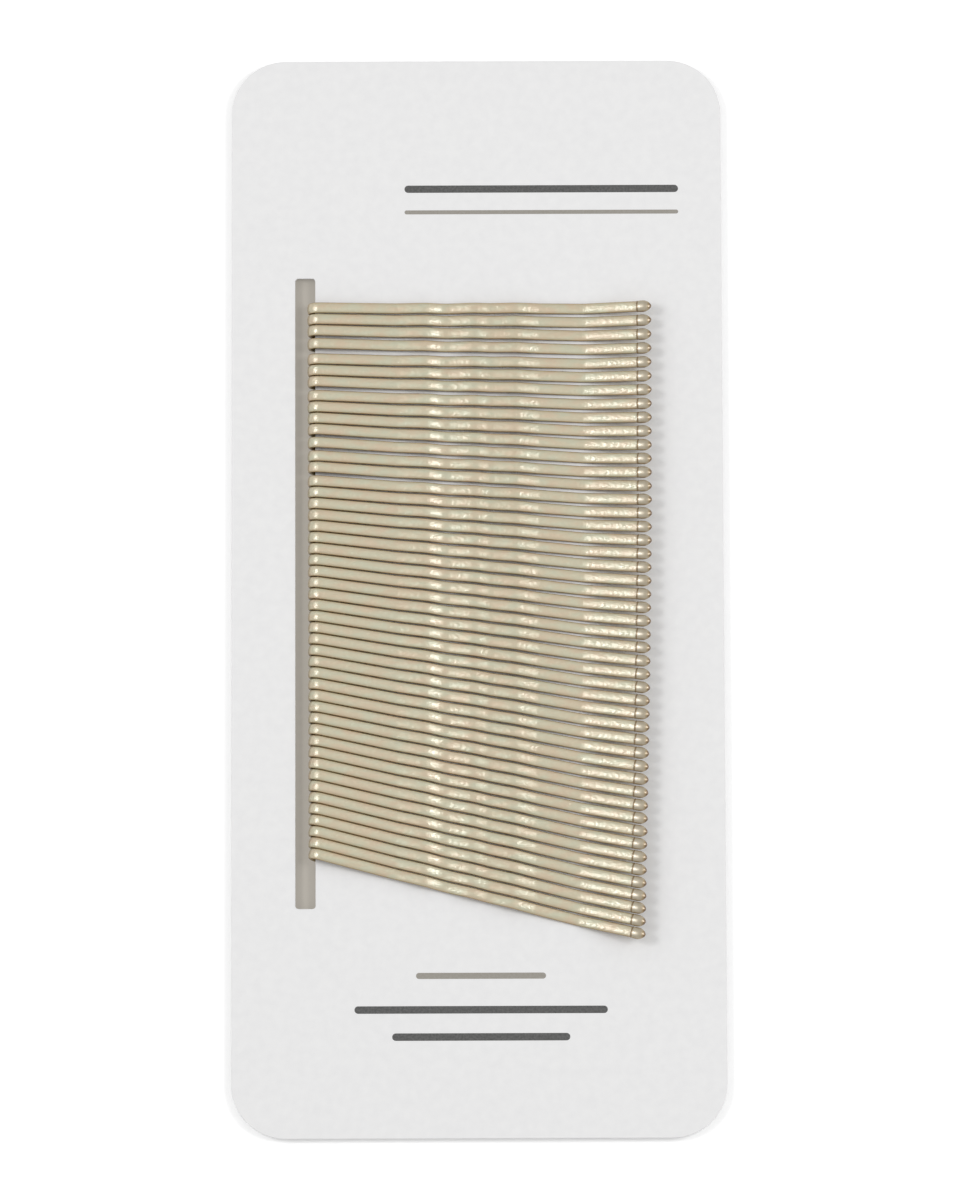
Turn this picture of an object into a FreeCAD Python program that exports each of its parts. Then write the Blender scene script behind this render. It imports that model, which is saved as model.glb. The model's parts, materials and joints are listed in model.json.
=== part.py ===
import FreeCAD, Part
import math
import os

import Sketcher

V = FreeCAD.Vector

# Bobby pins on their sales card: 48 flat-wire pins pushed over the edge of a slot in a card.
# Frame: the card lies flat with its front to +Z and its top to +Y. The origin is under the
# middle of the card, on the surface that the set lies on. Millimetres.

doc = FreeCAD.newDocument("CardedBobbyPins")
sheet = doc.addObject("Spreadsheet::Sheet", "Sizes")

SIZES = [
    # card
    ("card_width", 72.4),
    ("card_height", 160.8),
    ("card_thick", 0.5),
    ("card_corner_radius", 8.0),
    ("slot_width", 2.95),
    ("slot_length", 94.1),
    ("slot_corner_radius", 0.45),
    ("slot_centre_x", -25.355),
    ("slot_centre_y", 0.485),
    # wire of a pin
    ("pin_length", 50.8),
    ("wire_width", 1.55),
    ("wire_thick", 0.6),
    ("bend_radius", 1.45),
    ("crimp_height", 1.0),
    ("tip_rise", 2.3),
    # bead on each wire end
    ("bead_length", 2.2),
    ("bead_width", 1.75),
    ("bead_thick", 1.1),
    ("bead_end_width", 1.1),
    ("bead_end_thick", 0.5),
    ("bead_lip", 0.06),
    ("bead_socket_depth", 1.4),
    ("bead_fit", 0.01),
    # fit of the pins on the card
    ("bead_card_clearance", 0.06),
    ("grip_clearance", 0.03),
    # rows of pins: their bends stand in the slot, their tips fan out
    ("bend_left_x", -25.05),
    ("first_bend_y", 42.85),
    ("bend_clearance", 0.127),
    ("first_tip_y", 42.72),
    ("first_tip_pitch", 2.105),
    ("last_tip_pitch", 1.87),
]

PIN_COUNT = 48
# The lowest pins have their crimped leg as a piece of its own, hinged where the loop ends.
OPENING_PIN_COUNT = 10

# Pins in this pack don't all touch: after these pins a gap is left, in shares of the wire width.
GAP_AFTER_PIN_SHARES = {3: 0.18, 4: 0.42, 7: 0.29, 11: 0.18, 12: 0.22, 14: 0.25}

# Crimps of the front leg from the loop to the point that presses on the card:
# distance as a share of the pin length, height above that point as a share of the crimp height.
CRIMP_SHARES = [
    (0.258, 0.40),
    (0.345, 0.90),
    (0.400, 0.10),
    (0.485, 0.95),
    (0.532, 0.50),
    (0.605, 1.00),
    (0.672, 0.35),
    (0.800, 0.00),
]
# Where along its length a bead reaches and leaves its full section.
BEAD_FULL_SHARES = (0.30, 0.72)

for row, (alias, value) in enumerate(SIZES, start=1):
    sheet.set(f"A{row}", alias)
    sheet.set(f"B{row}", str(value))
    sheet.setAlias(f"B{row}", alias)
doc.recompute()


def size(alias):
    """Value of one cell of the sheet."""
    return float(sheet.get(alias))


def bind(obj, **expressions):
    """Tie properties of an object to cells of the sheet; a double underscore stands for a dot."""
    for name, expression in expressions.items():
        obj.setExpression(name.replace("__", "."), expression)


def origin_plane(body, role):
    """One of the three origin planes of a body."""
    return next(f for f in body.Origin.OriginFeatures if f.Role == role)


def flat_sketch(body, name, role):
    """An empty sketch on one of the body's own origin planes."""
    sketch = body.newObject("Sketcher::SketchObject", name)
    sketch.AttachmentSupport = [(origin_plane(body, role), "")]
    sketch.MapMode = "FlatFace"
    return sketch


def rounded_rectangle(sketch, width, height, radius, centre_x=None, centre_y=None):
    """Draw a rectangle with round corners; each argument is the alias of a cell."""
    half_w, half_h, r = size(width) / 2, size(height) / 2, size(radius)
    cx = size(centre_x) if centre_x else 0
    cy = size(centre_y) if centre_y else 0
    corners = [(1, -1), (1, 1), (-1, 1), (-1, -1)]
    for turn, (sx, sy) in enumerate(corners):
        before = corners[turn - 1]
        along_x = before[1] == sy
        start = V(cx + before[0] * (half_w - (r if along_x else 0)),
                  cy + before[1] * (half_h - (0 if along_x else r)), 0)
        end = V(cx + sx * (half_w - (r if along_x else 0)),
                cy + sy * (half_h - (0 if along_x else r)), 0)
        sketch.addGeometry(Part.LineSegment(start, end), False)
        centre = V(cx + sx * (half_w - r), cy + sy * (half_h - r), 0)
        first = math.pi / 2 * (turn - 1)
        circle = Part.Circle(centre, V(0, 0, 1), r)
        sketch.addGeometry(Part.ArcOfCircle(circle, first, first + math.pi / 2), False)
    edges = 2 * len(corners)
    for g in range(edges):
        sketch.addConstraint(Sketcher.Constraint("Tangent", g, 2, (g + 1) % edges, 1))
    for g in (0, 4):
        sketch.addConstraint(Sketcher.Constraint("Horizontal", g))
        sketch.addConstraint(Sketcher.Constraint("Vertical", g + 2))
    for g in (3, 5, 7):
        sketch.addConstraint(Sketcher.Constraint("Equal", 1, g))
    named = [
        ("radius", Sketcher.Constraint("Radius", 1, r), radius),
        ("width", Sketcher.Constraint("DistanceX", 6, 1, 2, 1, 2 * half_w), width),
        ("height", Sketcher.Constraint("DistanceY", 0, 1, 4, 1, 2 * half_h), height),
        ("right", Sketcher.Constraint("DistanceX", -1, 1, 2, 1, cx + half_w), None),
        ("top", Sketcher.Constraint("DistanceY", -1, 1, 4, 1, cy + half_h), None),
    ]
    for name, constraint, alias in named:
        index = sketch.addConstraint(constraint)
        sketch.renameConstraint(index, name)
        if alias:
            sketch.setExpression(f"Constraints.{name}", f"Sizes.{alias}")
    middle_x = f" + Sizes.{centre_x}" if centre_x else ""
    middle_y = f" + Sizes.{centre_y}" if centre_y else ""
    sketch.setExpression("Constraints.right", f"Sizes.{width} / 2{middle_x}")
    sketch.setExpression("Constraints.top", f"Sizes.{height} / 2{middle_y}")


def make_card():
    """The card: a board with round corners and one long slot near its left edge."""
    body = doc.addObject("PartDesign::Body", "Card")
    body.Label = "card"
    outline = flat_sketch(body, "CardOutline", "XY_Plane")
    rounded_rectangle(outline, "card_width", "card_height", "card_corner_radius")
    board = body.newObject("PartDesign::Pad", "CardBoard")
    board.Profile = outline
    bind(board, Length="Sizes.card_thick")
    doc.recompute()
    slot = flat_sketch(body, "SlotOutline", "XY_Plane")
    rounded_rectangle(slot, "slot_width", "slot_length", "slot_corner_radius",
                      "slot_centre_x", "slot_centre_y")
    cut = body.newObject("PartDesign::Pocket", "CardSlot")
    cut.Profile = slot
    cut.Type = "ThroughAll"
    cut.Midplane = True
    body.Tip = cut
    bind(body, Placement__Base__z="Sizes.bead_thick + Sizes.bead_card_clearance")
    return body


class Side:
    """Side view of a pin: x runs from the loop to the tips, y is the height above the surface."""

    def __init__(self):
        self.half = size("wire_thick") / 2
        self.radius = size("bend_radius")
        self.centre = V(self.half + self.radius, self.half + self.radius, 0)
        bead = size("bead_length")
        inside = size("bead_socket_depth")
        card_top = (size("bead_thick") + size("bead_card_clearance") + size("card_thick"))
        self.grip = V(size("pin_length") * CRIMP_SHARES[-1][0],
                      card_top + size("grip_clearance") + self.half, 0)

        # The rear leg climbs from the loop, which lies on the surface, to its thicker bead.
        bead_step = (size("bead_thick") - size("wire_thick")) / 2
        reach = size("pin_length") - bead + inside
        tilt = bead_step / (reach - self.centre.x)
        low_side = bead * (BEAD_FULL_SHARES[1] - BEAD_FULL_SHARES[0]) / 2 * tilt
        self.rear_end = V(reach, self.half + bead_step + low_side, 0)

        self.crimps = [V(size("pin_length") * along, self.grip.y + size("crimp_height") * up, 0)
                       for along, up in CRIMP_SHARES]
        self.front_end = V(reach, self.grip.y + size("tip_rise"), 0)

        # Directions of both legs where they leave the loop.
        self.rear_angle = self.leaving_angle(self.rear_end, -1)
        self.front_angle = self.leaving_angle(self.crimps[0], 1)

    def leaving_angle(self, target, side):
        """Angle of the line that leaves the loop's circle and ends at a point; side 1 is the top."""
        reach = target - self.centre
        lean = math.asin(self.radius / reach.Length)
        return math.atan2(reach.y, reach.x) - side * lean

    def on_loop(self, angle, side, radius):
        """Point of the loop where a leg with this angle leaves it."""
        return self.centre + V(-math.sin(angle), math.cos(angle), 0) * (side * radius)

    def run(self, points, offset):
        """Straight edges along the points, moved sideways by offset, with mitred corners."""
        ways = [(b - a).normalize() for a, b in zip(points, points[1:])]
        normals = [V(-way.y, way.x, 0) for way in ways]
        corners = [points[0] + normals[0] * offset]
        for point, before, after in zip(points[1:], normals, normals[1:]):
            across = (before + after).normalize()
            corners.append(point + across * (offset / across.dot(after)))
        corners.append(points[-1] + normals[-1] * offset)
        return [Part.LineSegment(a, b) for a, b in zip(corners, corners[1:])]

    def front_leg(self):
        """Both long sides of the crimped leg, upper side first."""
        points = [self.on_loop(self.front_angle, 1, self.radius)] + self.crimps + [self.front_end]
        return self.run(points, self.half), self.run(points, -self.half)

    def rear_leg(self):
        """Outer and inner side of the straight leg, and the loop's outer and inner arc."""
        sides = []
        for radius in (self.radius + self.half, self.radius - self.half):
            foot = self.on_loop(self.rear_angle, -1, radius)
            head = self.on_loop(self.front_angle, 1, radius)
            left = self.centre - V(radius, 0, 0)
            along = V(math.cos(self.rear_angle), math.sin(self.rear_angle), 0)
            length = (self.rear_end - self.centre).dot(along)
            sides += [Part.LineSegment(foot + along * length, foot), Part.Arc(foot, left, head)]
        return sides


side = Side()


def make_wire(name, edges):
    """A piece of flat wire: its side view, padded to the wire's width."""
    body = doc.addObject("PartDesign::Body", name)
    profile = flat_sketch(body, name + "Side", "XZ_Plane")
    for edge in edges:
        profile.addGeometry(edge, False)
    pad = body.newObject("PartDesign::Pad", name + "Strip")
    pad.Profile = profile
    pad.Midplane = True
    bind(pad, Length="Sizes.wire_width")
    body.Tip = pad
    return body


def make_bead():
    """The dipped bead: a straight middle between two tapers, with a socket for the wire."""
    mouth = "2 * (Sizes.bead_fit + Sizes.bead_lip)"
    reach = [f"Sizes.bead_length * {share}" for share in BEAD_FULL_SHARES]
    full = ("Sizes.bead_width", "Sizes.bead_thick")
    sections = [
        ("0 mm", f"Sizes.wire_width + {mouth}", f"Sizes.wire_thick + {mouth}"),
        (reach[0], *full),
        (reach[1], *full),
        ("Sizes.bead_length", "Sizes.bead_end_width", "Sizes.bead_end_thick"),
    ]
    # A wedge tapers along its own Y, so that axis is turned to lie along the wire.
    along_wire = FreeCAD.Rotation(V(0, 0, -1), 90)
    tapers = []
    for number, (first, last) in enumerate(zip(sections, sections[1:]), start=1):
        taper = doc.addObject("Part::Wedge", f"BeadTaper{number}")
        taper.Placement = FreeCAD.Placement(V(0, 0, 0), along_wire)
        bind(taper, Ymin=first[0], Ymax=last[0],
             Xmin=f"-({first[1]}) / 2", Xmax=f"({first[1]}) / 2",
             Zmin=f"-({first[2]}) / 2", Zmax=f"({first[2]}) / 2",
             X2min=f"-({last[1]}) / 2", X2max=f"({last[1]}) / 2",
             Z2min=f"-({last[2]}) / 2", Z2max=f"({last[2]}) / 2")
        tapers.append(taper)
    blank = doc.addObject("Part::MultiFuse", "BeadBlank")
    blank.Shapes = tapers
    blank.Refine = True
    socket = doc.addObject("Part::Box", "BeadSocket")
    bind(socket, Length="Sizes.bead_socket_depth",
         Width="Sizes.wire_width + 2 * Sizes.bead_fit",
         Height="Sizes.wire_thick + 2 * Sizes.bead_fit",
         Placement__Base__y="-Sizes.wire_width / 2 - Sizes.bead_fit",
         Placement__Base__z="-Sizes.wire_thick / 2 - Sizes.bead_fit")
    bead = doc.addObject("Part::Cut", "Bead")
    bead.Base = blank
    bead.Tool = socket
    return bead


def place_bead(name, bead, end, way):
    """A bead on a wire end: end is the wire's end, way its direction, both in the side view."""
    mouth = end - way * size("bead_socket_depth")
    placed = doc.addObject("Part::Compound", name)
    placed.Links = [bead]
    turn = FreeCAD.Rotation(V(0, -1, 0), math.degrees(math.atan2(way.y, way.x)))
    placed.Placement = FreeCAD.Placement(V(mouth.x, 0, mouth.y), turn)
    return placed


def make_node(label, pieces, placement):
    """One sub-part: the pieces of a pin together at their place on the card."""
    node = doc.addObject("Part::Compound", label.title().replace("_", ""))
    node.Label = label
    node.Links = pieces
    node.Placement = placement
    return node


def pin_placements():
    """Place of each pin: its loop stands in the slot, and the tips crowd a little more downwards."""
    reach = size("pin_length") - size("bead_length") / 2
    bend_y = size("first_bend_y")
    tip_y = size("first_tip_y")
    tip_pitch = size("first_tip_pitch")
    crowding = (size("first_tip_pitch") - size("last_tip_pitch")) / (PIN_COUNT - 2)
    places = []
    for number in range(1, PIN_COUNT + 1):
        angle = math.asin((bend_y - tip_y) / reach)
        left = size("bend_left_x") + size("wire_width") / 2 * math.sin(angle)
        turn = FreeCAD.Rotation(V(0, 0, -1), math.degrees(angle))
        places.append(FreeCAD.Placement(V(left, bend_y, 0), turn))
        gap = size("wire_width") * GAP_AFTER_PIN_SHARES.get(number, 0)
        bend_y -= size("wire_width") + size("bend_clearance") + gap
        tip_y -= tip_pitch
        tip_pitch -= crowding
    return places


def make_pins():
    """All pins; the lowest ones have two nodes each."""
    leg_top, leg_under = side.front_leg()
    rear_out, loop_out, rear_in, loop_in = side.rear_leg()
    tip = Part.LineSegment(leg_top[-1].EndPoint, leg_under[-1].EndPoint)
    seam = Part.LineSegment(leg_top[0].StartPoint, leg_under[0].StartPoint)
    rear_tip = Part.LineSegment(rear_out.StartPoint, rear_in.StartPoint)
    loop = [rear_out, loop_out, rear_in, loop_in, rear_tip]
    whole = make_wire("PinWire", loop + leg_top + leg_under + [tip])
    loop_wire = make_wire("LoopWire", loop + [seam])
    leg_wire = make_wire("LegWire", leg_top + leg_under + [tip, seam])

    bead = make_bead()
    front_way = (side.front_end - side.grip).normalize()
    rear_way = V(math.cos(side.rear_angle), math.sin(side.rear_angle), 0)
    front_bead = place_bead("FrontBead", bead, side.front_end, front_way)
    rear_bead = place_bead("RearBead", bead, side.rear_end, rear_way)

    nodes = []
    for number, place in enumerate(pin_placements(), start=1):
        if number <= PIN_COUNT - OPENING_PIN_COUNT:
            nodes.append(make_node(f"pin_{number:02d}", [whole, front_bead, rear_bead], place))
        else:
            nodes.append(make_node(f"pin_{number:02d}", [loop_wire, rear_bead], place))
            nodes.append(make_node(f"leg_{number:02d}", [leg_wire, front_bead], place))
    return nodes


nodes = [make_card()] + make_pins()
doc.recompute()

for obj in doc.Objects:
    if "Invalid" in obj.State or "Error" in obj.State:
        raise RuntimeError(f"{obj.Name} failed: {obj.State}")
for node in nodes:
    if node.Shape.isNull() or not node.Shape.isValid():
        raise RuntimeError(f"{node.Label} has no valid shape")

os.makedirs("parts", exist_ok=True)
for node in nodes:
    node.Shape.exportStep(f"parts/{node.Label}.step")

print("nodes", len(nodes), "solids", sum(len(n.Shape.Solids) for n in nodes))
hinge = side.on_loop(side.front_angle, 1, side.radius + side.half)
print("hinge of the opening legs, along the pin and up:", round(hinge.x, 4), round(hinge.y, 4))
for number, place in enumerate(pin_placements(), start=1):
    print(number, round(place.Base.x, 4), round(place.Base.y, 4),
          round(math.degrees(place.Rotation.Angle), 3))
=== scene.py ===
import json
import math

import bmesh
import bpy
from mathutils import Matrix, Vector

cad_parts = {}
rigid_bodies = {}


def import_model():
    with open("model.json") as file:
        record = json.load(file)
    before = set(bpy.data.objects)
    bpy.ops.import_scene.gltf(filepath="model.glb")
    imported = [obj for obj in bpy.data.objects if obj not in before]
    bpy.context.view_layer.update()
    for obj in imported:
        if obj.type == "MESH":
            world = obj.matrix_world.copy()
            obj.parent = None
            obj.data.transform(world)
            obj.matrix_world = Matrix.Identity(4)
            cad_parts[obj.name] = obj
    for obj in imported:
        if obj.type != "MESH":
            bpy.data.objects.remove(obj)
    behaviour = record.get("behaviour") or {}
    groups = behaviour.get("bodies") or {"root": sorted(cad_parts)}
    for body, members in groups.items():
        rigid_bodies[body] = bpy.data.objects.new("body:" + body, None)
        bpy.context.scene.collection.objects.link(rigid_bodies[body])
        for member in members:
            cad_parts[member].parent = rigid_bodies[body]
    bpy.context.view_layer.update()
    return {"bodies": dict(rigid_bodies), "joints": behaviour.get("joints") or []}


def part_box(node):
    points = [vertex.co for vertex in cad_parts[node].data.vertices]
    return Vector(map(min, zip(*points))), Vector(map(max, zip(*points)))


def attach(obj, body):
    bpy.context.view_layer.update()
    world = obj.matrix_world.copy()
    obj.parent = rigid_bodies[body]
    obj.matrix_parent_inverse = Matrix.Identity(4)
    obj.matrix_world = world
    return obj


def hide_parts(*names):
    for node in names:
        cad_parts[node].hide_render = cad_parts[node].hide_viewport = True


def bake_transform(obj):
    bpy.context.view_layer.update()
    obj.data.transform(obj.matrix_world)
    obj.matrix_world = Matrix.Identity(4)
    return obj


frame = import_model()

# Sizes are in metres; shares are parts of the size that they follow.
MM = 0.001

# pin, as in the solids
PIN_LENGTH = 50.8 * MM
WIRE_WIDTH = 1.55 * MM
WIRE_THICK = 0.6 * MM
BEND_RADIUS = 1.45 * MM
# middle line of the front leg: where it rests on the card, and how far crimps and tip rise above
GRIP_HEIGHT = 1.99 * MM
CRIMP_HEIGHT = 1.0 * MM
TIP_RISE = 2.3 * MM
# the front leg's bends: place along the pin, and height as a share of the crimp height
CRIMP_SHARES = [
    (0.258, 0.40),
    (0.345, 0.90),
    (0.400, 0.10),
    (0.485, 0.95),
    (0.532, 0.50),
    (0.605, 1.00),
    (0.672, 0.35),
    (0.800, 0.00),
]
BEAD_LENGTH = 2.2 * MM
BEAD_WIDTH = 1.75 * MM
BEAD_THICK = 1.1 * MM
BEAD_SOCKET = 1.4 * MM

# wire's shape: a coat on its narrow sides, a rounded section, and steps along its middle line
ENAMEL = 0.025 * MM
SECTION_POINTS = 20
SECTION_POWER = 2.2
RUN_STEPS = 3
LOOP_STEPS = 26
CRIMP_ROUND = 3.0 * MM
ROUND_REACH = 1.5
ROUND_LIMIT = 0.48
ROUND_STEPS = 6
# stretch past the loop, given stations of its own; an opening front leg is split off at its start
OPEN_START = 0.3 * MM
OPEN_RUN = 3.0 * MM
OPEN_STEPS = 4

# bead's outline: distance from its mouth, and share of the mouth's or of the bead's half width
MOUTH_GAP = 0.03 * MM
MOUTH_DEPTH = 0.02 * MM
MOUTH_OUTLINE = [(MOUTH_DEPTH, 0.86), (0, 0.95)]
BEAD_NOSE = 0.95 * MM
BEAD_OUTLINE = [
    (0.04 * MM, 0.97),
    (0.16 * MM, 0.98),
    (0.24 * MM, 0.935),
    (0.32 * MM, 0.98),
    (0.6 * MM, 1.0),
    (BEAD_NOSE, 1.0),
]
NOSE_STEPS = 8
NOSE_ROUND = 0.68
BEAD_TURNS = 20
MERGE = 0.002 * MM

# side value, which sets painted shade: none up to 0.5, and dark brown at 1; it darkens the wires'
# narrow sides and undersides, the loop's outer end and the beads' edges, mouth and nose
INNER_SHADE = 0.92
# painted shade on the loop's outer end: its reach, its least side value there and its rise towards
# the end
LOOP_END = 0.75 * MM
LOOP_END_SHADE = 0.5
LOOP_END_SHADE_GAIN = 0.38
# painted shade on the beads: the share of a bead at its mouth, the side value in that ring, and
# how fast the nose darkens
MOUTH_SHARE = 0.13
MOUTH_SHADE = 0.96
NOSE_SHADE = 1.1

# card
CARD_CORNER = 8.0 * MM
CARD_STEPS = 18
SLOT_CENTRE = (-25.355 * MM, 0.485 * MM)
SLOT_SIZE = (2.95 * MM, 94.1 * MM)
SLOT_CORNER = 0.45 * MM
SLOT_STEPS = 4
EDGE_ROUND = 0.05 * MM
EDGE_STEPS = 2
RIM_ANGLE = 1.0

# printed bars: name, ink, centre, size
INK_FILM = 0.01 * MM
BAR_ROUND = 0.98
BAR_STEPS = 6
BARS = [
    ("rule_top", "ink_dark", (9.6 * MM, 61.0 * MM), (40.5 * MM, 1.1 * MM)),
    ("rule_top_short", "ink_taupe", (9.6 * MM, 57.5 * MM), (40.5 * MM, 0.6 * MM)),
    ("rule_low_1", "ink_taupe", (0.3 * MM, -56.5 * MM), (19.0 * MM, 0.9 * MM)),
    ("rule_low_2", "ink_dark", (0.3 * MM, -61.5 * MM), (37.0 * MM, 1.1 * MM)),
    ("rule_low_3", "ink_dark", (0.3 * MM, -65.5 * MM), (26.0 * MM, 1.1 * MM)),
]

# colours; a ramp has a place and a colour for each stop
PIN_HUES = [(0.34, (0.63, 0.51, 0.35)), (0.5, (0.61, 0.54, 0.375)), (0.66, (0.585, 0.565, 0.405))]
BEAD_HUES = [(0.3, (0.49, 0.42, 0.30)), (0.7, (0.55, 0.49, 0.37))]
# painted shade: stops over the side value, from no shade to a dark brown
PAINTED_SHADE_STOPS = [(0.5, (1, 1, 1)), (0.8, (0.92, 0.88, 0.82)), (0.9, (0.74, 0.62, 0.42)),
               (1.0, (0.30, 0.17, 0.03))]
BOARD_HUES = [(0.3, (0.785, 0.783, 0.785)), (0.7, (0.815, 0.813, 0.812))]
INKS = {"ink_taupe": (0.29, 0.27, 0.235), "ink_dark": (0.07, 0.07, 0.068)}
INK_FADE = 0.06
INK_STOPS = (0.35, 0.75)
FLOOR_COLOUR = (0.86, 0.86, 0.86, 1)
FLOOR_GLOW = (0.3, 0.3, 0.3, 1)
# painted shadow: a grey beige patch of floor under the card, seen through its slot, with a
# camera-seen glow that evens out the shade there
UNDER_CARD_SHADOW_COLOUR = (0.30, 0.28, 0.25, 1)
UNDER_CARD_SHADOW_GLOW = (0.23, 0.215, 0.19, 1)

# relief of the enamel and of the board
ENAMEL_GRAIN = 0.07 * MM
BOARD_GRAIN = 0.004 * MM

# studio: half sizes of the floor and of its painted shadow patch under the card
FLOOR_HALF = 1.2
UNDER_CARD = (33.0 * MM, 76.0 * MM)
# soft lights: name, place, size, watts
LIGHTS = [
    ("light_left", (-0.62, 0.08, 0.62), (0.7, 0.4), 1.1),
    ("light_right", (0.70, 0.08, 0.54), (0.6, 0.4), 1.45),
    ("core_left", (-0.50, 0.08, 0.75), (0.24, 0.20), 1.6),
    ("core_right", (0.49, 0.04, 0.76), (0.22, 0.22), 1.6),
]
SURROUND = 0.5

# photograph's camera: it looks down on the card's front, tilted a little from its lower end
VIEW_POINT = Vector((0.33 * MM, -0.77 * MM, 1.66 * MM))
VIEW_DISTANCE = 1500.0 * MM
VIEW_TILT = math.radians(9.85)
VIEW_ROLL = math.radians(-0.19)
LENS_MM = 204.0
SENSOR_MM = 24.0
NEAR_CLIP = 10.0 * MM


def shader(name):
    """A new node material, its tree and its surface shader."""
    material = bpy.data.materials.new(name)
    material.use_nodes = True
    tree = material.node_tree
    return material, tree, tree.nodes["Principled BSDF"]


def feed(tree, socket, value):
    """Link an output to an input, or set the input's own value."""
    if isinstance(value, bpy.types.NodeSocket):
        tree.links.new(value, socket)
    else:
        socket.default_value = value


def feed_all(tree, made, **values):
    """Feed a node's inputs by name, with _ for a space."""
    for key, value in values.items():
        feed(tree, made.inputs[key.replace("_", " ")], value)


def noise(tree, scale, detail=2.0, stretch=(1, 1, 1)):
    """Noise on the piece's own coordinates, in cycles per metre, stretched along an axis."""
    place = tree.nodes.new("ShaderNodeTexCoord")
    mapping = tree.nodes.new("ShaderNodeMapping")
    feed_all(tree, mapping, Vector=place.outputs["Object"], Scale=stretch)
    grain = tree.nodes.new("ShaderNodeTexNoise")
    feed_all(tree, grain, Vector=mapping.outputs["Vector"], Scale=scale, Detail=detail)
    return grain.outputs["Fac"]


def ramp(tree, source, stops):
    """A colour ramp over a value: (place, colour) pairs."""
    made = tree.nodes.new("ShaderNodeValToRGB")
    elements = made.color_ramp.elements
    while len(elements) < len(stops):
        elements.new(0.5)
    for element, (place, colour) in zip(elements, stops):
        element.position = place
        element.color = (*colour, 1)
    feed_all(tree, made, Fac=source)
    return made.outputs["Color"]


def maths(tree, operation, first, second=None):
    """A Math node over sockets or numbers."""
    made = tree.nodes.new("ShaderNodeMath")
    made.operation = operation
    feed(tree, made.inputs[0], first)
    if second is not None:
        feed(tree, made.inputs[1], second)
    return made.outputs[0]


def mix(tree, factor, first, second, blend="MIX"):
    """A mix of two colours, each a socket or a value."""
    made = tree.nodes.new("ShaderNodeMix")
    made.data_type = "RGBA"
    made.blend_type = blend
    feed_all(tree, made, Factor=factor, A=first, B=second)
    return made.outputs["Result"]


def seen_rays(tree):
    """1 for what the camera sees, straight or in a gloss or through glass, and 0 for lighting."""
    path = tree.nodes.new("ShaderNodeLightPath")
    straight = maths(tree, "MAXIMUM", path.outputs["Is Camera Ray"], path.outputs["Is Glossy Ray"])
    return maths(tree, "MAXIMUM", straight, path.outputs["Is Transmission Ray"])


def bump(tree, surface, source, height):
    """Relief of a given height in metres on a surface and on its clear coat."""
    relief = tree.nodes.new("ShaderNodeBump")
    feed_all(tree, relief, Height=source, Distance=height, Strength=1.0)
    normal = relief.outputs["Normal"]
    feed_all(tree, surface, Normal=normal, Coat_Normal=normal)


def painted_side_shade(tree, colour):
    """Darken a colour with painted shade, as the piece's own side value says."""
    side = tree.nodes.new("ShaderNodeAttribute")
    side.attribute_name = "side"
    return mix(tree, 1.0, colour, ramp(tree, side.outputs["Fac"], PAINTED_SHADE_STOPS), "MULTIPLY")


def pin_paint():
    """Champagne enamel: a warm satin body under a clear gloss coat; its hue drifts along the wire,
    and painted shade darkens it to brown on the wire's narrow sides and underside and on the
    loop's outer end."""
    material, tree, surface = shader("pin_paint")
    streaks = noise(tree, scale=560, detail=3.0, stretch=(0.6, 1.6, 1))
    feed_all(tree, surface, Base_Color=painted_side_shade(tree, ramp(tree, streaks, PIN_HUES)),
             Metallic=0.35, Roughness=0.42, Coat_Weight=1.0, Coat_Roughness=0.25, Coat_IOR=1.85)
    bump(tree, surface, noise(tree, scale=2600, stretch=(0.7, 1, 1)), ENAMEL_GRAIN)
    return material


def bead_paint():
    """The dipped beads: the same enamel, thicker and a little more golden, with painted shade on
    their edges, mouth ring and nose.
    """
    material, tree, surface = shader("bead_paint")
    cloud = noise(tree, scale=1500)
    feed_all(tree, surface, Base_Color=painted_side_shade(tree, ramp(tree, cloud, BEAD_HUES)),
             Metallic=0.5, Roughness=0.38, Coat_Weight=1.0, Coat_Roughness=0.25, Coat_IOR=1.85)
    return material


def card_paper():
    """Smooth pale board with a faint fibre grain."""
    material, tree, surface = shader("card_paper")
    fibres = noise(tree, scale=700, detail=4.0)
    feed_all(tree, surface, Base_Color=ramp(tree, fibres, BOARD_HUES), Roughness=0.62)
    bump(tree, surface, noise(tree, scale=2600, detail=3.0), BOARD_GRAIN)
    return material


def ink(name):
    """Printed ink: flat colour broken by the paper's grain."""
    material, tree, surface = shader(name)
    specks = noise(tree, scale=3000, detail=3.0)
    full = INKS[name]
    faded = tuple(c + (1 - c) * INK_FADE for c in full)
    feed_all(tree, surface, Base_Color=ramp(tree, specks, list(zip(INK_STOPS, (full, faded)))),
             Roughness=0.5)
    return material


def piece(name, bm, material, smooth=True):
    """Turn a bmesh into an object with its place in its mesh."""
    mesh = bpy.data.meshes.new(name)
    bm.normal_update()
    bm.to_mesh(mesh)
    bm.free()
    mesh.materials.append(material)
    if smooth:
        mesh.shade_smooth()
    made = bpy.data.objects.new(name, mesh)
    bpy.context.scene.collection.objects.link(made)
    return made


def extruded(bm, faces):
    """Extrude faces in place; returns the new vertices and faces."""
    grown = bmesh.ops.extrude_face_region(bm, geom=faces)["geom"]
    return ([g for g in grown if isinstance(g, bmesh.types.BMVert)],
            [g for g in grown if isinstance(g, bmesh.types.BMFace)])


def thicken(bm, faces, height):
    """Close flat faces into a plate that rises by a height."""
    verts, _ = extruded(bm, faces)
    bmesh.ops.translate(bm, vec=(0, 0, height), verts=verts)
    bmesh.ops.recalc_face_normals(bm, faces=bm.faces)


def heading(way):
    """Angle of a direction in a pin's side view."""
    return math.atan2(way.y, way.x)


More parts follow.
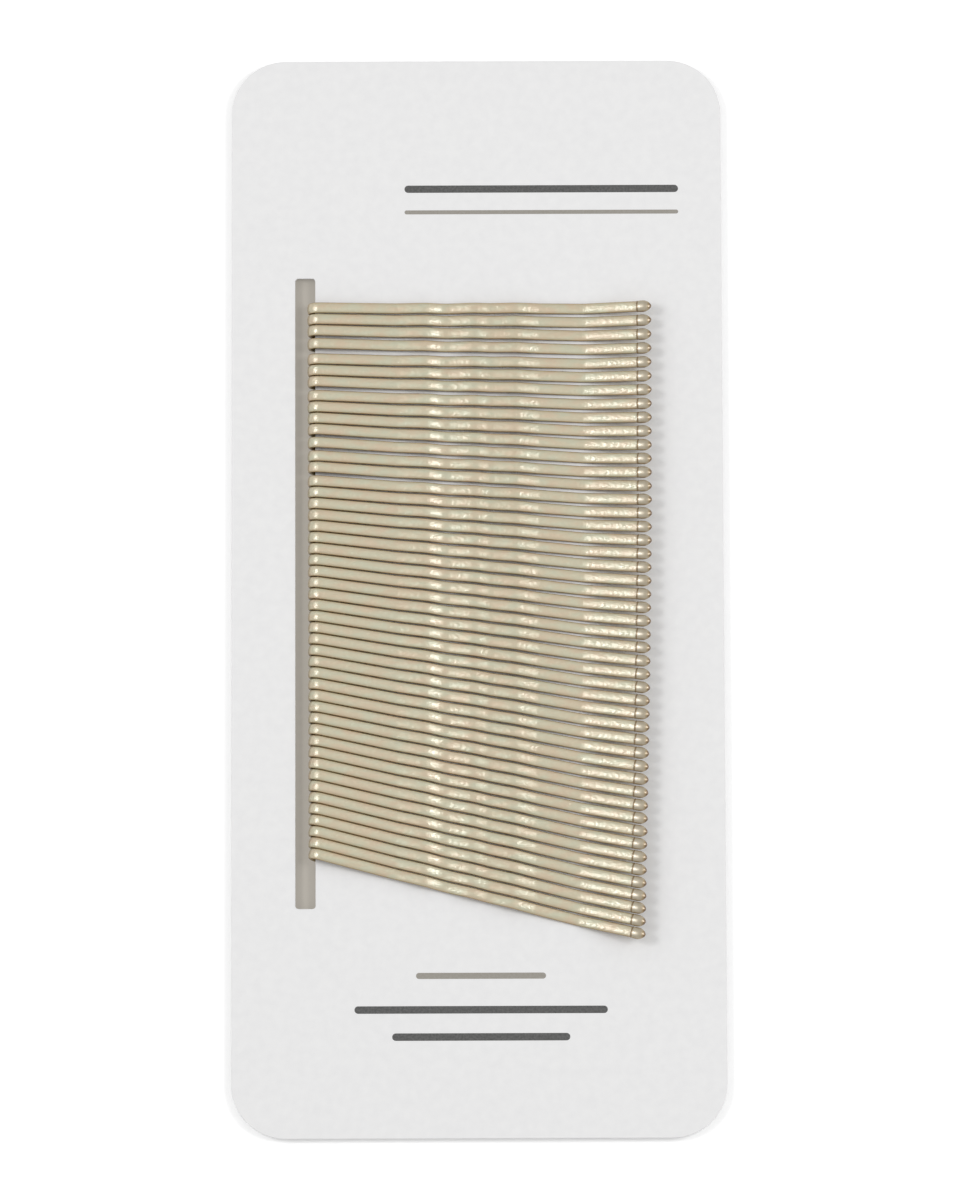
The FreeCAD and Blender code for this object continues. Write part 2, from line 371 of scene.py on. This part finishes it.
def side_path():
    """Middle line of a pin's wire in its side view: (place, angle) from rear tip to front."""
    centre = Vector((WIRE_THICK / 2 + BEND_RADIUS, WIRE_THICK / 2 + BEND_RADIUS))
    reach = PIN_LENGTH - BEAD_LENGTH + BEAD_SOCKET
    rear_end = Vector((reach, BEAD_THICK / 2))
    front = [Vector((PIN_LENGTH * along, GRIP_HEIGHT + CRIMP_HEIGHT * up))
             for along, up in CRIMP_SHARES]
    front.append(Vector((reach, GRIP_HEIGHT + TIP_RISE)))

    def leaving(target, side):
        """Angle at which a straight run leaves the loop for a target."""
        way = target - centre
        return heading(way) - side * math.asin(BEND_RADIUS / way.length)

    rear_angle, front_angle = leaving(rear_end, -1), leaving(front[0], 1)
    turned = rear_angle + math.pi
    path = []
    foot = centre + Vector((math.sin(rear_angle), -math.cos(rear_angle))) * BEND_RADIUS
    for step in range(RUN_STEPS + 1):
        path.append((rear_end.lerp(foot, step / (RUN_STEPS + 1)), turned))
    for step in range(LOOP_STEPS + 1):
        angle = turned + (front_angle - turned) * step / LOOP_STEPS
        path.append((centre + Vector((-math.sin(angle), math.cos(angle))) * BEND_RADIUS, angle))
    loop_end = path[-1][0]
    forward = (front[0] - loop_end).normalized()
    for step in range(OPEN_STEPS + 1):
        past_loop = OPEN_START + OPEN_RUN * step / OPEN_STEPS
        path.append((loop_end + forward * past_loop, heading(forward)))
    points = [path[-1][0]] + front
    for before, point, after in zip(points, points[1:], points[2:]):
        into, out = point - before, after - point
        turn = abs(out.angle_signed(into))
        reach_back = min(CRIMP_ROUND * math.tan(turn / 2) * ROUND_REACH,
                         into.length * ROUND_LIMIT, out.length * ROUND_LIMIT)
        start = point - into.normalized() * reach_back
        end = point + out.normalized() * reach_back
        for step in range(ROUND_STEPS + 1):
            share = step / ROUND_STEPS
            place = start.lerp(point, share).lerp(point.lerp(end, share), share)
            path.append((place, heading(into.normalized().lerp(out.normalized(), share))))
    path.append((points[-1], heading(points[-1] - points[-2])))
    return path


def squared(value):
    """A circle's sine or cosine pushed towards a rounded square's."""
    return math.copysign(abs(value) ** (2 / SECTION_POWER), value)


def at_station(place, angle):
    """Matrix of a place and an angle in a pin's side view."""
    return Matrix.Translation((place.x, 0, place.y)) @ Matrix.Rotation(-angle, 4, "Y")


def wire_blank(path):
    """A bent wire in its side frame: one rounded section extruded along a middle line."""
    bm = bmesh.new()
    side = bm.verts.layers.float.new("side")
    half_width = WIRE_WIDTH / 2 + ENAMEL
    made = bmesh.ops.create_circle(bm, cap_ends=True, radius=1, segments=SECTION_POINTS)
    ring = made["verts"]
    for vert in ring:
        angle = math.atan2(vert.co.y, vert.co.x)
        wide, high = squared(math.cos(angle)), squared(math.sin(angle))
        vert.co = Vector((0, wide * half_width, high * WIRE_THICK / 2))
        # painted shade: darker towards the section's narrow sides, and dark brown across its
        # underside
        vert[side] = abs(wide) if high > 0 else max(abs(wide), INNER_SHADE)
    here = at_station(*path[0])
    bmesh.ops.transform(bm, matrix=here, verts=ring)
    face = bm.faces[:][0]
    for step, station in enumerate(path[1:]):
        after = at_station(*station)
        verts, ends = extruded(bm, [face])
        if step > 0:
            bm.faces.remove(face)
        face = ends[0]
        bmesh.ops.transform(bm, matrix=after @ here.inverted(), verts=verts)
        here = after
    bmesh.ops.recalc_face_normals(bm, faces=bm.faces)
    for cap in (f for f in bm.faces if len(f.verts) == SECTION_POINTS):
        for edge in cap.edges:
            edge.smooth = False
    # painted shade on the loop's outer end, darker towards the bend's outer point
    for vert in bm.verts:
        outer = 1 - vert.co.x / LOOP_END
        vert[side] = max(vert[side], LOOP_END_SHADE + LOOP_END_SHADE_GAIN * outer)
    return bm


def bead_blank():
    """The dipped bead along +X from its mouth: a round bullet pressed flat."""
    half = BEAD_WIDTH / 2
    mouth = WIRE_WIDTH / 2 + MOUTH_GAP
    outline = [(x, mouth * share) for x, share in MOUTH_OUTLINE]
    outline += [(x, half * share) for x, share in BEAD_OUTLINE]
    for step in range(1, NOSE_STEPS):
        reach = math.sin(math.pi / 2 * step / NOSE_STEPS)
        left = 1 - reach ** 2
        narrow = NOSE_ROUND * math.sqrt(left) + (1 - NOSE_ROUND) * left
        outline.append((BEAD_NOSE + (BEAD_LENGTH - BEAD_NOSE) * reach, half * narrow))
    bm = bmesh.new()
    tip = bm.verts.new((BEAD_LENGTH, 0, 0))
    verts = [bm.verts.new((x, y, 0)) for x, y in outline] + [tip]
    back = bm.verts.new((MOUTH_DEPTH, 0, 0))
    edges = [bm.edges.new(pair) for pair in zip([back] + verts, verts)]
    bmesh.ops.spin(bm, geom=verts + [back] + edges, cent=(0, 0, 0), axis=(1, 0, 0),
                   angle=2 * math.pi, steps=BEAD_TURNS, use_merge=True)
    bmesh.ops.remove_doubles(bm, verts=bm.verts, dist=MERGE)
    # painted shade: darker towards the bead's edges and nose, and dark in the ring at its mouth
    side = bm.verts.layers.float.new("side")
    for vert in bm.verts:
        out = vert.co.x / BEAD_LENGTH
        on_body = max(abs(vert.co.y) / half, NOSE_SHADE * out)
        vert[side] = on_body if out > MOUTH_SHARE else MOUTH_SHADE
    bmesh.ops.scale(bm, vec=(1, 1, BEAD_THICK / BEAD_WIDTH), verts=bm.verts)
    bmesh.ops.recalc_face_normals(bm, faces=bm.faces)
    return bm


def as_mesh(bm, name):
    """Keep a blank as a mesh that is copied for every pin."""
    mesh = bpy.data.meshes.new(name)
    bm.to_mesh(mesh)
    bm.free()
    return mesh


def placed_copy(blank, matrix):
    """A copy of a blank moved to its place."""
    bm = bmesh.new()
    bm.from_mesh(blank)
    bmesh.ops.transform(bm, matrix=matrix, verts=bm.verts)
    return bm


def pin_places():
    """Body name and place of each pin, from its slide and from where its solids lie."""
    for joint in frame["joints"]:
        if joint["type"] != "slide":
            continue
        body = joint["child"]
        way = Vector((-joint["axis"][0], -joint["axis"][1], 0)).normalized()
        low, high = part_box(body)
        start = Vector((low.x - WIRE_WIDTH / 2 * way.y, high.y - WIRE_WIDTH / 2 * way.x, 0))
        turn = Matrix(((way.x, -way.y, 0), (way.y, way.x, 0), (0, 0, 1))).to_4x4()
        yield body, Matrix.Translation(start) @ turn


def bead_place(place, angle):
    """Where a bead sits on a wire end in the pin's side frame."""
    return at_station(place, angle) @ Matrix.Translation((-BEAD_SOCKET, 0, 0))


def make_pins(paint, bead_finish):
    """All pins: a wire and two beads each; where the front leg opens, it is a piece of its own
    that starts just past the loop."""
    path = side_path()
    open_from = RUN_STEPS + 1 + LOOP_STEPS + 1
    wire = as_mesh(wire_blank(path), "wire_blank")
    loop_wire = as_mesh(wire_blank(path[:open_from + 1]), "loop_wire_blank")
    leg_wire = as_mesh(wire_blank(path[open_from:]), "leg_wire_blank")
    bead = as_mesh(bead_blank(), "bead_blank")
    rear_place, rear_angle = path[0]
    front_seat = bead_place(*path[-1])
    rear_seat = bead_place(rear_place, rear_angle - math.pi)
    for body, place in pin_places():
        number = body.split("_")[-1]
        leg = f"leg_{number}"
        opens = leg in frame["bodies"]
        strip = piece(f"wire_{number}", placed_copy(loop_wire if opens else wire, place), paint)
        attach(strip, body)
        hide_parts(body)
        if opens:
            front_leg = piece(f"wire_leg_{number}", placed_copy(leg_wire, place), paint)
            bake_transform(front_leg)
            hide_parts(leg)
        ends = (("front", front_seat, leg if opens else body), ("rear", rear_seat, body))
        for end_name, seat, carrier in ends:
            drop = piece(f"bead_{end_name}_{number}", placed_copy(bead, place @ seat), bead_finish)
            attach(drop, carrier)


def rounded_face(bm, centre, size, radius, steps):
    """A flat rectangle with round corners; returns its faces."""
    verts = bmesh.ops.create_grid(bm, x_segments=1, y_segments=1, size=0.5)["verts"]
    bmesh.ops.scale(bm, vec=(*size, 1), verts=verts)
    bmesh.ops.translate(bm, vec=centre, verts=verts)
    done = bmesh.ops.bevel(bm, geom=verts, offset=radius, affect="VERTICES", segments=steps,
                           profile=0.5, material=-1)
    return list({f for v in done["verts"] for f in v.link_faces})


def make_card(paper):
    """The card: round corners, the slot cut through, and slightly soft edges. Returns the height
    of its upper face."""
    low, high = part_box("card")
    middle, size = (low + high) / 2, high - low
    bm = bmesh.new()
    faces = rounded_face(bm, (middle.x, middle.y, low.z), size.xy, CARD_CORNER, CARD_STEPS)
    faces += rounded_face(bm, (*SLOT_CENTRE, low.z), SLOT_SIZE, SLOT_CORNER, SLOT_STEPS)
    bmesh.ops.delete(bm, geom=faces, context="FACES_ONLY")
    bmesh.ops.triangle_fill(bm, use_beauty=True, use_dissolve=False, edges=bm.edges[:],
                            normal=(0, 0, 1))
    thicken(bm, bm.faces[:], size.z)
    rims = [e for e in bm.edges if len(e.link_faces) == 2 and e.calc_face_angle() > RIM_ANGLE]
    bmesh.ops.bevel(bm, geom=rims, offset=EDGE_ROUND, affect="EDGES", segments=EDGE_STEPS,
                    profile=0.5, material=-1)
    card = piece("card_board", bm, paper, smooth=False)
    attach(card, "card")
    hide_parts("card")
    return high.z


def make_print(height):
    """Plain printed marks in the places of the pack's own print: films of ink with round ends,
    and no words."""
    inks = {name: ink(name) for name in INKS}
    for name, finish, centre, size in BARS:
        bm = bmesh.new()
        faces = rounded_face(bm, (*centre, height - INK_FILM), size,
                             min(size) / 2 * BAR_ROUND, BAR_STEPS)
        thicken(bm, faces, 2 * INK_FILM)
        bar = piece(name, bm, inks[finish], smooth=False)
        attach(bar, "card")


def softbox(name, place, size, power):
    """A rectangular soft light that faces the object."""
    lamp = bpy.data.lights.new(name, "AREA")
    lamp.shape = "RECTANGLE"
    lamp.size, lamp.size_y = size
    lamp.energy = power
    made = bpy.data.objects.new(name, lamp)
    made.location = place
    made.rotation_euler = (-Vector(place)).to_track_quat("-Z", "Y").to_euler()
    bpy.context.scene.collection.objects.link(made)


def make_floor():
    """White floor, with a painted shadow under the card: a grey beige patch, seen through its
    slot.
    """
    bm = bmesh.new()
    bmesh.ops.create_grid(bm, x_segments=1, y_segments=1, size=FLOOR_HALF)
    material, tree, surface = shader("floor_white")
    place = tree.nodes.new("ShaderNodeTexCoord")
    parts = tree.nodes.new("ShaderNodeSeparateXYZ")
    feed(tree, parts.inputs[0], place.outputs["Object"])
    beyond = [maths(tree, "GREATER_THAN", maths(tree, "ABSOLUTE", parts.outputs[axis]), half)
              for axis, half in zip("XY", UNDER_CARD)]
    outside = maths(tree, "MAXIMUM", *beyond)
    # painted shadow under the card, with a glow there that evens out its shade
    feed_all(tree, surface, Base_Color=mix(tree, outside, UNDER_CARD_SHADOW_COLOUR, FLOOR_COLOUR),
             Roughness=0.9, Specular_IOR_Level=0.1,
             Emission_Color=mix(tree, outside, UNDER_CARD_SHADOW_GLOW, FLOOR_GLOW),
             Emission_Strength=seen_rays(tree))
    piece("floor", bm, material, smooth=False)


def make_studio():
    """Floor, soft lights from the left and the right with a brighter core each, and a plain
    surround."""
    make_floor()
    for light in LIGHTS:
        softbox(*light)
    world = bpy.data.worlds.new("surround")
    world.use_nodes = True
    bpy.context.scene.world = world
    tree = world.node_tree
    feed_all(tree, tree.nodes["Background"], Color=(1, 1, 1, 1), Strength=SURROUND)


def make_camera():
    """The photograph's view."""
    lens = bpy.data.cameras.new("camera")
    lens.sensor_fit = "VERTICAL"
    lens.sensor_height = SENSOR_MM
    lens.lens = LENS_MM
    lens.clip_start = NEAR_CLIP
    camera = bpy.data.objects.new("camera", lens)
    away = Vector((0, -math.sin(VIEW_TILT), math.cos(VIEW_TILT)))
    look = (-away).to_track_quat("-Z", "Y").to_matrix().to_4x4()
    camera.matrix_world = (Matrix.Translation(VIEW_POINT + away * VIEW_DISTANCE) @ look
                           @ Matrix.Rotation(VIEW_ROLL, 4, "Z"))
    bpy.context.scene.collection.objects.link(camera)
    bpy.context.scene.camera = camera


card_top = make_card(card_paper())
make_print(card_top)
make_pins(pin_paint(), bead_paint())
make_studio()
make_camera()
bpy.context.scene.view_settings.view_transform = "Standard"
